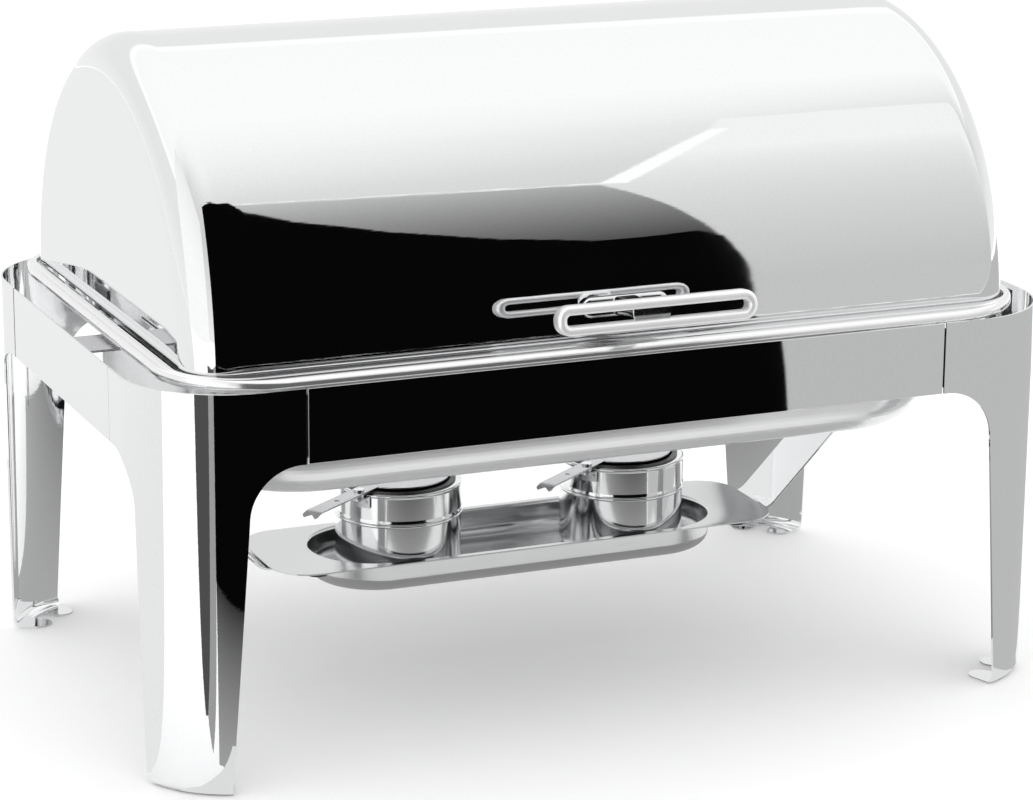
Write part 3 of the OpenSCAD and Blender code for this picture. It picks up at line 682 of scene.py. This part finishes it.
def build_burner(side):
    """Lower can with its bead, upper collar with its flat ring, snuffer and welds."""
    lo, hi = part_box(f"burner_{side}_can")
    cx, cy = (lo[0] + hi[0]) / 2, MID_Y
    z0, top = lo[2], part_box(f"burner_{side}_collar")[1][2]
    body = f"burner_{side}"
    can_r, edge = CAN_R, CAN_EDGE_R
    bead_z, inner_r = z0 + TIER_H - 1.3 * MM, CAN_R - CAN_T
    can = [(0.0, z0 + 0.6 * MM), (30 * MM, z0 + 0.6 * MM), (31 * MM, z0)]
    can += [(can_r - edge + edge * math.sin(a), z0 + edge * (1 - math.cos(a)))
            for a in spread(0, math.pi / 2, 10)]
    can += [(can_r, bead_z - 1.6 * MM)]
    can += [(can_r + 1.0 * MM * math.sin(a), bead_z - 1.2 * MM * math.cos(a))
            for a in spread(0, math.pi, 10)]
    can += [(can_r, bead_z + 1.6 * MM), (can_r, z0 + CAN_H), (inner_r, z0 + CAN_H),
            (inner_r, z0 + edge), (can_r - edge, z0 + 1.6 * MM), (0.0, z0 + 1.6 * MM)]
    mesh = lathe_mesh(f"burner_{side}_wall", (cx, cy), can)
    turn_outward(mesh)
    finish_piece(f"burner_{side}_wall", mesh, PART_STEEL, body, [f"burner_{side}_can"])
    low = z0 + TIER_H
    collar = [(43.25 * MM, top - 1 * MM), (43.25 * MM, low), (43.6 * MM, low),
              (44.1 * MM, low + 0.5 * MM), (44.1 * MM, low + 1.6 * MM),
              (43.7 * MM, low + 2.6 * MM), (43.7 * MM, top - 2.4 * MM)]
    collar += [(42.9 * MM + 1.2 * MM * math.cos(a), top - 1.2 * MM + 1.2 * MM * math.sin(a))
               for a in spread(-0.5, math.pi / 2, 8)]
    collar += [(41.6 * MM, top - 0.05 * MM), (38 * MM, top - 0.05 * MM), (37.2 * MM, top - 0.4 * MM),
               (37.2 * MM, top - 1 * MM), (43.25 * MM, top - 1 * MM)]
    mesh = lathe_mesh(f"burner_{side}_sleeve", (cx, cy), collar)
    turn_outward(mesh)
    finish_piece(f"burner_{side}_sleeve", mesh, PART_STEEL, body, [f"burner_{side}_collar"])
    build_snuffer(side, (cx, cy))
    build_welds(side, (cx, cy), top - 5.2 * MM)


def build_welds(side, centre, height):
    """Two spot-weld dimples on the clip under the lever."""
    verts, faces = [], []
    for offset in (-4.0, 4.0):
        angle = LEVER_DIR + math.radians(offset)
        out = Vector((math.cos(angle), math.sin(angle), 0))
        across = Vector((-out.y, out.x, 0))
        middle = Vector((centre[0], centre[1], height))
        rows = []
        for radius, lift in ((1.35, 45.2), (1.3, 45.45), (1.0, 45.6), (0.6, 45.5), (0.1, 45.35)):
            rows.append([middle + out * lift * MM
                         + (across * math.cos(t) + Vector((0, 0, math.sin(t)))) * radius * MM
                         for t in spread(0, math.tau, 20)[:-1]])
        more_verts, more_faces = loft(rows, loop=True)
        faces += [tuple(i + len(verts) for i in face) for face in more_faces]
        faces.append(tuple(len(verts) + len(more_verts) - 20 + i for i in range(20)))
        verts += more_verts
    mesh = mesh_of(f"burner_{side}_welds", verts, faces, weld=1e-7)
    turn_outward(mesh)
    finish_piece(f"burner_{side}_welds", mesh, FITTING_STEEL, f"burner_{side}", [])


def outline_mesh(name, outer, holes, thickness, edge):
    """Flat plate with holes and rounded edges, in the x-y plane round z = 0."""
    curve = bpy.data.curves.new(name, "CURVE")
    curve.dimensions = "2D"
    curve.fill_mode = "BOTH"
    curve.extrude = thickness / 2 - edge
    curve.bevel_depth = edge
    curve.bevel_resolution = 2
    for loop in [outer] + holes:
        spline = curve.splines.new("POLY")
        spline.points.add(len(loop) - 1)
        for point, (x, y) in zip(spline.points, loop):
            point.co = (x, y, 0, 1)
        spline.use_cyclic_u = True
    maker = bpy.data.objects.new(name, curve)
    mesh = bpy.data.meshes.new_from_object(maker)
    bpy.data.objects.remove(maker)
    return mesh


def build_snuffer(side, centre):
    """Disc and lever in one plate, its notched end curled down."""
    lo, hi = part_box(f"burner_{side}_snuffer")
    radius, width, pivot, reach = SNUFFER_R, LEVER_HALF_W, PIVOT_REACH, LEVER_REACH
    meet = math.asin(width / radius)
    outer = [(radius * math.cos(a), radius * math.sin(a))
             for a in spread(meet, math.tau - meet, 90)]
    end = pivot + reach - 0.4 * MM
    outer += [(end - 1.5 * MM, -width), (end, -width + 1.5 * MM), (end - 3.5 * MM, 0.0),
              (end, width - 1.5 * MM), (end - 1.5 * MM, width)]
    hole = arc((pivot, 0), 2.05 * MM, 0, 345, 23)
    eye = arc((pivot + 27 * MM, 0), 1.8 * MM, 0, 345, 23)
    mesh = outline_mesh(f"snuffer_{side}_plate", outer, [hole, eye], 1 * MM, 0.2 * MM)
    curl_from, curl_r = end - 9 * MM, 16 * MM
    work = bmesh.new()
    work.from_mesh(mesh)
    for cut in spread(curl_from, end - 1 * MM, 8):
        geometry = list(work.verts) + list(work.edges) + list(work.faces)
        bmesh.ops.bisect_plane(work, geom=geometry, plane_co=(cut, 0, 0), plane_no=(1, 0, 0))
    for vert in work.verts:
        along = vert.co.x - curl_from
        if along > 0:
            bend = along / curl_r
            vert.co.x = curl_from + (curl_r + vert.co.z) * math.sin(bend)
            vert.co.z = (curl_r + vert.co.z) * math.cos(bend) - curl_r
    work.to_mesh(mesh)
    work.free()
    place = Matrix.Translation((centre[0], centre[1], (lo[2] + hi[2]) / 2))
    mesh.transform(place @ Matrix.Rotation(LEVER_DIR, 4, "Z"))
    finish_piece(f"snuffer_{side}_plate", mesh, LEVER_DARKENED_STEEL, f"snuffer_{side}",
                 [f"burner_{side}_snuffer"])


# ---------------------------------------------------------------- build all

build_lid()
build_ring()
for end_name, end_sy in (("front", -1), ("rear", 1)):
    for side_name, side_sx in (("left", -1), ("right", 1)):
        build_leg(f"leg_{end_name}_{side_name}_sheet", side_sx, end_sy)
build_rail("front_rail_sheet", "front_rail", True, -1)
build_rail("rear_rail_sheet", "rear_rail", True, 1)
build_rail("left_rail_sheet", "left_rail", False, -1)
build_rail("right_rail_sheet", "right_rail", False, 1)
build_well()
build_food_pan()
build_tray()
build_hanger("hanger_left_strap", "hanger_left", -1)
build_hanger("hanger_right_strap", "hanger_right", 1)
build_handle()
build_stem()
build_base()
build_burner("left")
build_burner("right")

CAD_LOOKS = {
    # Seam plates take the near-black satin: painted shade showing through the seam gaps.
    "seam_plates": PAINTED_SHADE_STEEL,
    "seam_nuts": FITTING_STEEL,
    "pan_deck": WELL_STEEL,
    "support_bracket_left": FITTING_STEEL,
    "support_bracket_right": FITTING_STEEL,
    "pivot_bracket_left": FITTING_STEEL,
    "pivot_bracket_right": FITTING_STEEL,
    "pivot_pin_left": PART_STEEL,
    "pivot_pin_right": PART_STEEL,
    "pivot_washers": PART_STEEL,
    "lid_stops": SILICONE,
    "tray_buttons": SILICONE,
    "lid_pivot_plate_left": FITTING_STEEL,
    "lid_pivot_plate_right": FITTING_STEEL,
    "handle_screws": PART_STEEL,
    # Burner cups take the near-black satin: painted shade inside the cups under the snuffers.
    "burner_left_cup": PAINTED_SHADE_STEEL,
    "burner_right_cup": PAINTED_SHADE_STEEL,
    "burner_left_bracket": FITTING_STEEL,
    "burner_right_bracket": FITTING_STEEL,
    "burner_left_rivet": PART_STEEL,
    "burner_right_rivet": PART_STEEL,
}
for node_name, look in CAD_LOOKS.items():
    for material_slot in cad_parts[node_name].material_slots:
        material_slot.material = look

# ---------------------------------------------------------------- studio


def shown(display):
    """Glow of a card that polished steel shows at this display brightness."""
    linear = ((display + 0.055) / 1.055) ** 2.4
    return linear / 0.89


def floor_material():
    material = bpy.data.materials.new("floor_pale")
    material.use_nodes = True
    shader = material.node_tree.nodes["Principled BSDF"]
    shader.inputs["Base Color"].default_value = (0.94, 0.94, 0.94, 1.0)
    shader.inputs["Roughness"].default_value = 0.9
    shader.inputs["Specular IOR Level"].default_value = 0.0
    return material


def card_material(name, start, end, start_tone, end_tone):
    """Steady glow that changes evenly from one point to another."""
    material = bpy.data.materials.new(name)
    material.use_nodes = True
    tree = material.node_tree
    tree.nodes.clear()
    add, link = node_maker(material)
    run = Vector(end) - Vector(start)
    place = add("ShaderNodeTexCoord")
    away = add("ShaderNodeVectorMath", operation="SUBTRACT")
    away.inputs[1].default_value = start
    link(place, "Object", away, "Vector")
    along = add("ShaderNodeVectorMath", operation="DOT_PRODUCT")
    along.inputs[1].default_value = run / run.length_squared
    link(away, "Vector", along, "Vector")
    level = add("ShaderNodeMapRange", To_Min=shown(start_tone), To_Max=shown(end_tone))
    link(along, "Value", level, "Value")
    glow = add("ShaderNodeEmission")
    link(level, "Result", glow, "Strength")
    output = add("ShaderNodeOutputMaterial")
    link(glow, "Emission", output, "Surface")
    return material


def reflected_only(card):
    """Shows a studio object in reflections and nowhere else."""
    bpy.context.scene.collection.objects.link(card)
    card.visible_camera = False
    card.visible_diffuse = False
    card.visible_shadow = False
    card.visible_transmission = False
    card.visible_volume_scatter = False


def card(name, points, tone, to_tone=None, start=(0, 0, 0), end=(0, 0, 1)):
    mesh = bpy.data.meshes.new(name)
    mesh.from_pydata(points, [], [tuple(range(len(points)))])
    mesh.materials.append(card_material(name, start, end, tone, tone if to_tone is None else to_tone))
    reflected_only(bpy.data.objects.new(name, mesh))


def sky_material():
    """Paler overhead than low behind, with a bright strip, and dimmer in front."""
    material = bpy.data.materials.new("sky")
    material.use_nodes = True
    tree = material.node_tree
    tree.nodes.clear()
    add, link = node_maker(material)
    place = add("ShaderNodeTexCoord")
    unit = add("ShaderNodeVectorMath", operation="NORMALIZE")
    link(place, "Object", unit, "Vector")
    split = add("ShaderNodeSeparateXYZ")
    link(unit, "Vector", split, "Vector")
    stops = {
        "front": ((0.0, 0.93), (0.62, 0.80), (0.80, 0.86), (0.93, 0.95), (1.0, 0.97)),
        "back": ((0.0, 0.93), (0.30, 0.895), (0.54, 0.90), (0.56, 1.0), (0.60, 1.0), (0.63, 0.975),
                 (1.0, 0.985)),
    }
    ramps = {}
    for name, levels in stops.items():
        ramp = add("ShaderNodeValToRGB")
        elements = ramp.color_ramp.elements
        while len(elements) < len(levels):
            elements.new(0.5)
        for element, (at, tone) in zip(elements, levels):
            element.position = at
            element.color = (*(shown(tone),) * 3, 1.0)
        link(split, "Z", ramp, "Fac")
        ramps[name] = ramp
    side = add("ShaderNodeMapRange", From_Min=-0.25, From_Max=0.05)
    link(split, "Y", side, "Value")
    mix = add("ShaderNodeMix", data_type="RGBA")
    link(side, "Result", mix, 0)
    link(ramps["front"], "Color", mix, 6)
    link(ramps["back"], "Color", mix, 7)
    glow = add("ShaderNodeEmission")
    link(mix, 2, glow, "Color")
    output = add("ShaderNodeOutputMaterial")
    link(glow, "Emission", output, "Surface")
    return material


def build_sky():
    mesh = bpy.data.meshes.new("sky")
    work = bmesh.new()
    bmesh.ops.create_uvsphere(work, u_segments=48, v_segments=24, radius=9.0)
    work.to_mesh(mesh)
    work.free()
    mesh.materials.append(sky_material())
    reflected_only(bpy.data.objects.new("sky", mesh))


WALL_Y = -1.5


def on_wall(points, layer=0):
    """Points (x, z) of a card on the wall in front; higher layers stand behind."""
    return [(x, WALL_Y - 0.01 * layer, z) for x, z in points]


def on_floor(points, layer=1):
    return [(x, y, 0.0006 * layer) for x, y in points]


def build_studio():
    world = bpy.data.worlds.new("white_room")
    bpy.context.scene.world = world
    world.use_nodes = True
    glow = world.node_tree.nodes["Background"]
    glow.inputs["Color"].default_value = (1.0, 1.0, 1.0, 1.0)
    glow.inputs["Strength"].default_value = 1.32
    size = 30.0
    mesh = bpy.data.meshes.new("floor")
    mesh.from_pydata([(-size, -size, 0), (size, -size, 0), (size, size, 0), (-size, size, 0)],
                     [], [(0, 1, 2, 3)])
    mesh.materials.append(floor_material())
    floor = bpy.data.objects.new("floor", mesh)
    bpy.context.scene.collection.objects.link(floor)
    build_sky()
    card("card_black", on_wall([(-1.1, 0), (0.752, 0), (0.752, 0.4), (0.77, 0.75), (0.786, 0.92),
                                (0.775, 1.01), (0.70, 0.99), (0.64, 1.0), (0.55, 1.14), (0.48, 1.36),
                                (0.437, 1.7), (0.45, 2.0), (0.46, 2.3), (-1.1, 2.3)]), 0.02)
    card("card_shade", on_wall([(0.4, 0.9), (0.784, 0.9), (0.822, 1.225), (0.883, 1.646),
                                (0.934, 1.984), (0.70, 2.1), (0.46, 2.22)], 1),
         0.75, 0.25, (0.5, WALL_Y, 2.2), (0.85, WALL_Y, 0.95))
    card("card_right", on_wall([(0.7, 0), (5.0, 0), (5.0, 6.0), (2.9, 6.0), (2.13, 4.4), (1.59, 3.33),
                                (1.26, 2.66), (0.934, 1.984), (0.7, 1.9)], 2),
         0.76, 0.95, (0, WALL_Y, 0.4), (0, WALL_Y, 3.0))
    edge = [(0.46, 2.25), (0.934, 1.995), (1.26, 2.67), (1.59, 3.34), (2.13, 4.41)]
    card("card_strip", on_wall(edge + [(x + 0.03, z - 0.03) for x, z in reversed(edge)], -1), 1.0)
    card("card_left", [(-4, -4, 0), (-4, 0.2, 0), (-4, 0.2, 5), (-4, -4, 5)],
         0.98, 0.92, (0, 0, 1.5), (0, 0, 5))
    card("card_floor_black", on_floor([(-0.51, -0.54), (0.30, -0.54), (0.528, -0.998),
                                       (0.762, -1.49), (-1.10, -1.49)], 2), 0.02)
    card("card_floor_near", on_floor([(-0.31, -0.23), (0.2, -0.23), (0.34, -0.62), (-0.52, -0.56)], 1),
         0.62, 0.12, (0, -0.23, 0), (0, -0.56, 0))
    card("card_floor_right", on_floor([(0.2, -0.215), (0.33, -0.15), (0.9, 0.4), (3.5, 1.0), (5.0, -1.49),
                                       (0.70, -1.49)], 1), 0.72)
    card("card_floor_band", on_floor([(-0.388, -0.278), (-0.383, -0.283), (-1.05, -1.19), (-1.4, -1.03)], 3),
         0.30)
    card("card_floor_gap", on_floor([(-0.385, -0.285), (-0.33, -0.24), (-1.05, -1.45), (-1.10, -1.19)], 1),
         0.60)
    card("card_floor_left", on_floor([(-0.33, -0.14), (-1.6, -0.2), (-8.8, 0.6), (-6.0, 6.0), (-0.33, 8.0)],
                                     1), 0.90, 0.92, (-0.33, 0.1, 0), (-0.8, 0.9, 0))
    card("card_floor_glow", on_floor([(-0.3, -0.27), (0.3, -0.27), (0.3, -0.155), (-0.3, -0.155)], 2), 0.86)
    card("card_floor_under", on_floor([(-0.3, -0.22), (0.3, -0.22), (0.3, 0.25), (-0.3, 0.25)], 1),
         0.50, 0.66, (0, -0.2, 0), (0, 0.25, 0))


def build_camera():
    """Stands left of centre, a little above the lid, looking down 15 degrees."""
    data = bpy.data.cameras.new("camera")
    camera = bpy.data.objects.new("camera", data)
    bpy.context.scene.collection.objects.link(camera)
    yaw, pitch, roll = 0.401, 0.267, 0.006
    ahead = Vector((math.sin(yaw) * math.cos(pitch), math.cos(yaw) * math.cos(pitch), -math.sin(pitch)))
    right = Vector((math.cos(yaw), -math.sin(yaw), 0))
    up = right.cross(ahead)
    right, up = (math.cos(roll) * right + math.sin(roll) * up,
                 -math.sin(roll) * right + math.cos(roll) * up)
    place = Vector((-0.8993, -2.1201 + MID_Y, 0.8105))
    turn = Matrix((right, up, -ahead)).transposed().to_4x4()
    camera.matrix_world = Matrix.Translation(place) @ turn
    data.sensor_width = 36.0
    data.lens = 120.5
    data.shift_x = 0.0056
    data.shift_y = -0.0038
    bpy.context.scene.camera = camera


build_studio()
build_camera()
bpy.context.scene.view_settings.view_transform = "Standard"
